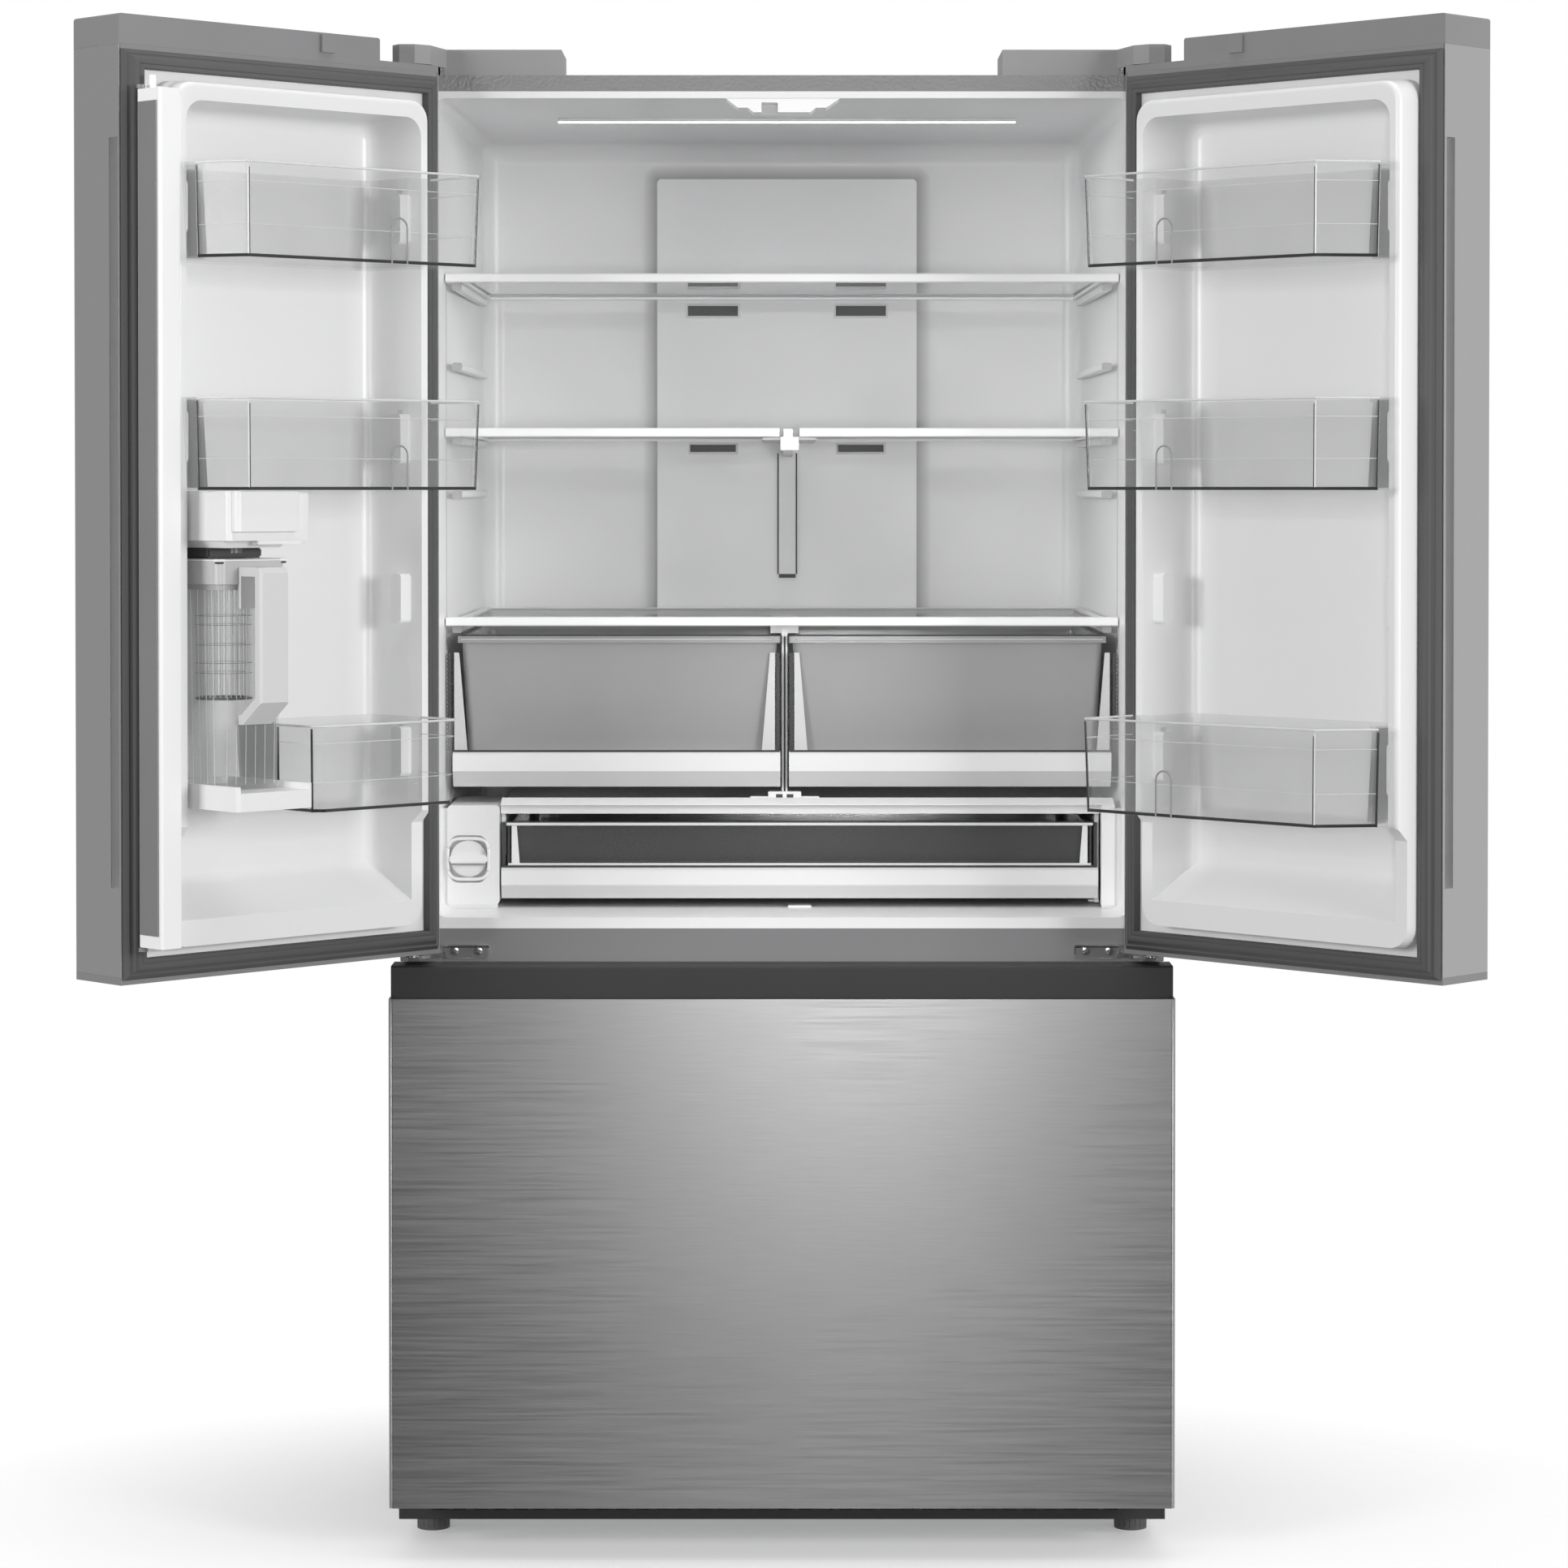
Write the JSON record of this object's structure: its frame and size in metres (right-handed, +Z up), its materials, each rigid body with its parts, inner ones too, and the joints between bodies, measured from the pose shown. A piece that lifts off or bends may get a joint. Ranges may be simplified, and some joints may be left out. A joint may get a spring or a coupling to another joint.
{
  "type": "french door refrigerator",
  "caption": "Counter-height french door refrigerator with side hinged upper doors shown open, glass shelves, crispers, a water jug filler and a bottom freezer drawer.",
  "frame": {"origin": "centre of the whole object's footprint, on the floor, doors open", "axes": "+Z up, +X to the right of a person facing the doors, +Y towards the back of the cabinet"},
  "size_m": [1.5592, 1.1473, 1.7595],
  "materials": {
    "case_steel": "satin",
    "back_steel": "galvanised satin",
    "door_steel": "brushed",
    "grey_trim": "satin",
    "gasket": "matte",
    "liner": "gloss",
    "trim_white": "satin",
    "clear_plastic": "clear",
    "smoked_plastic": "clear",
    "shelf_glass": "clear",
    "black_plastic": "satin",
    "mullion_steel": "satin",
    "zinc_steel": "plated",
    "foam": "matte",
    "black_enamel": "satin",
    "fin_aluminium": "mill",
    "brass": "machined",
    "lamp_lens": "frosted",
    "foot_plastic": "matte",
    "galvanised": "galvanised",
    "knob_white": "satin",
    "lid_grey": "satin"
  },
  "bodies": {
    "cabinet": {"cabinet_shell": "case_steel", "cabinet_back": "back_steel", "insulation_foam": "foam", "fridge_liner": "liner", "freezer_liner": "liner", "mid_rail": "grey_trim", "base_pan": "galvanised", "kick_grille": "black_plastic", "compressor": "black_enamel", "condenser": "fin_aluminium", "compressor_cover": "back_steel", "water_inlet": "brass", "power_inlet": "black_plastic", "evaporator": "fin_aluminium", "duct_panel": "liner", "shelf_track": "trim_white", "light_lens": "lamp_lens", "mullion_guide": "trim_white", "door_hinges": "zinc_steel", "hinge_covers": "grey_trim", "shelf_panes": "shelf_glass", "shelf_frames": "trim_white", "crisper_frame": "trim_white", "deli_cover": "trim_white", "filter_housing": "liner", "freezer_rails": "galvanised"},
    "filter_knob": {"filter_knob": "knob_white"},
    "left_foot": {"left_foot": "foot_plastic"},
    "right_foot": {"right_foot": "foot_plastic"},
    "rear_rollers": {"rear_rollers": "black_plastic"},
    "left_door": {"left_door_skin": "door_steel", "left_door_caps": "grey_trim", "left_door_panel": "liner", "left_door_gasket": "gasket", "dispenser": "trim_white"},
    "right_door": {"right_door_skin": "door_steel", "right_door_caps": "grey_trim", "right_door_panel": "liner", "right_door_gasket": "gasket"},
    "pitcher": {"pitcher_body": "clear_plastic", "pitcher_lid": "lid_grey"},
    "mullion": {"mullion_body": "trim_white", "mullion_plate": "mullion_steel"},
    "left_crisper": {"left_crisper": "smoked_plastic"},
    "right_crisper": {"right_crisper": "smoked_plastic"},
    "deli_drawer": {"deli_drawer": "smoked_plastic"},
    "freezer_drawer": {"drawer_skin": "door_steel", "drawer_handle": "black_plastic", "drawer_panel": "liner", "drawer_gasket": "gasket", "rails_moving": "galvanised", "freezer_bin": "trim_white"},
    "rails_middle": {"rails_middle": "galvanised"},
    "freezer_basket": {"freezer_basket": "trim_white"},
    "left_upper_bin": {"left_upper_bin": "clear_plastic"},
    "left_middle_bin": {"left_middle_bin": "clear_plastic"},
    "left_lower_bin": {"left_lower_bin": "clear_plastic"},
    "right_upper_bin": {"right_upper_bin": "clear_plastic"},
    "right_middle_bin": {"right_middle_bin": "clear_plastic"},
    "right_lower_bin": {"right_lower_bin": "clear_plastic"}
  },
  "joints": [
    {"name": "left_door_hinge", "type": "hinge", "parent": "cabinet", "child": "left_door", "pos_m": [-0.4348, -0.2059, 1.2], "axis": [0, 0, -1], "range_deg": [-135.2, 0]},
    {"name": "right_door_hinge", "type": "hinge", "parent": "cabinet", "child": "right_door", "pos_m": [0.4348, -0.2059, 1.2], "axis": [0, 0, 1], "range_deg": [-135.2, 0]},
    {"name": "mullion_hinge", "type": "hinge", "parent": "left_door", "child": "mullion", "pos_m": [-0.69532, -0.53472, 1.2], "axis": [0, 0, 1], "range_deg": [-90, 0]},
    {"name": "freezer_drawer_slide", "type": "slide", "parent": "cabinet", "child": "freezer_drawer", "axis": [0, -1, 0], "range_m": [0, 0.45]},
    {"name": "rails_middle_slide", "type": "slide", "parent": "cabinet", "child": "rails_middle", "axis": [0, -1, 0], "range_m": [0, 0.225]},
    {"name": "freezer_basket_slide", "type": "slide", "parent": "cabinet", "child": "freezer_basket", "axis": [0, -1, 0], "range_m": [0, 0.27]},
    {"name": "left_crisper_slide", "type": "slide", "parent": "cabinet", "child": "left_crisper", "axis": [0, -1, 0], "range_m": [0, 0.24]},
    {"name": "right_crisper_slide", "type": "slide", "parent": "cabinet", "child": "right_crisper", "axis": [0, -1, 0], "range_m": [0, 0.24]},
    {"name": "deli_drawer_slide", "type": "slide", "parent": "cabinet", "child": "deli_drawer", "axis": [0, -1, 0], "range_m": [0, 0.34]},
    {"name": "left_upper_bin_lift", "type": "slide", "parent": "left_door", "child": "left_upper_bin", "axis": [0, 0, 1], "range_m": [0, 0.03]},
    {"name": "left_middle_bin_lift", "type": "slide", "parent": "left_door", "child": "left_middle_bin", "axis": [0, 0, 1], "range_m": [0, 0.03]},
    {"name": "left_lower_bin_lift", "type": "slide", "parent": "left_door", "child": "left_lower_bin", "axis": [0, 0, 1], "range_m": [0, 0.03]},
    {"name": "right_upper_bin_lift", "type": "slide", "parent": "right_door", "child": "right_upper_bin", "axis": [0, 0, 1], "range_m": [0, 0.03]},
    {"name": "right_middle_bin_lift", "type": "slide", "parent": "right_door", "child": "right_middle_bin", "axis": [0, 0, 1], "range_m": [0, 0.03]},
    {"name": "right_lower_bin_lift", "type": "slide", "parent": "right_door", "child": "right_lower_bin", "axis": [0, 0, 1], "range_m": [0, 0.03]},
    {"name": "pitcher_slide", "type": "slide", "parent": "left_door", "child": "pitcher", "axis": [0.7046, -0.7096, 0], "range_m": [0, 0.15]},
    {"name": "filter_knob_turn", "type": "hinge", "parent": "cabinet", "child": "filter_knob", "pos_m": [-0.377, -0.0644, 0.7975], "axis": [0, -1, 0], "range_deg": [0, 90]},
    {"name": "left_foot_screw", "type": "hinge", "parent": "cabinet", "child": "left_foot", "pos_m": [-0.417, -0.0994, 0.02], "axis": [0, 0, 1], "range_deg": [-180, 180]},
    {"name": "right_foot_screw", "type": "hinge", "parent": "cabinet", "child": "right_foot", "pos_m": [0.417, -0.0994, 0.02], "axis": [0, 0, 1], "range_deg": [-180, 180]},
    {"name": "rear_rollers_spin", "type": "hinge", "parent": "cabinet", "child": "rear_rollers", "pos_m": [0, 0.4596, 0.02], "axis": [1, 0, 0], "continuous": true}
  ],
  "couplings": [
    {"joint": "mullion_hinge", "follows": "left_door_hinge", "ratio": 0.66568},
    {"joint": "rails_middle_slide", "follows": "freezer_drawer_slide", "ratio": 0.5},
    {"joint": "freezer_basket_slide", "follows": "freezer_drawer_slide", "ratio": 0.6}
  ]
}
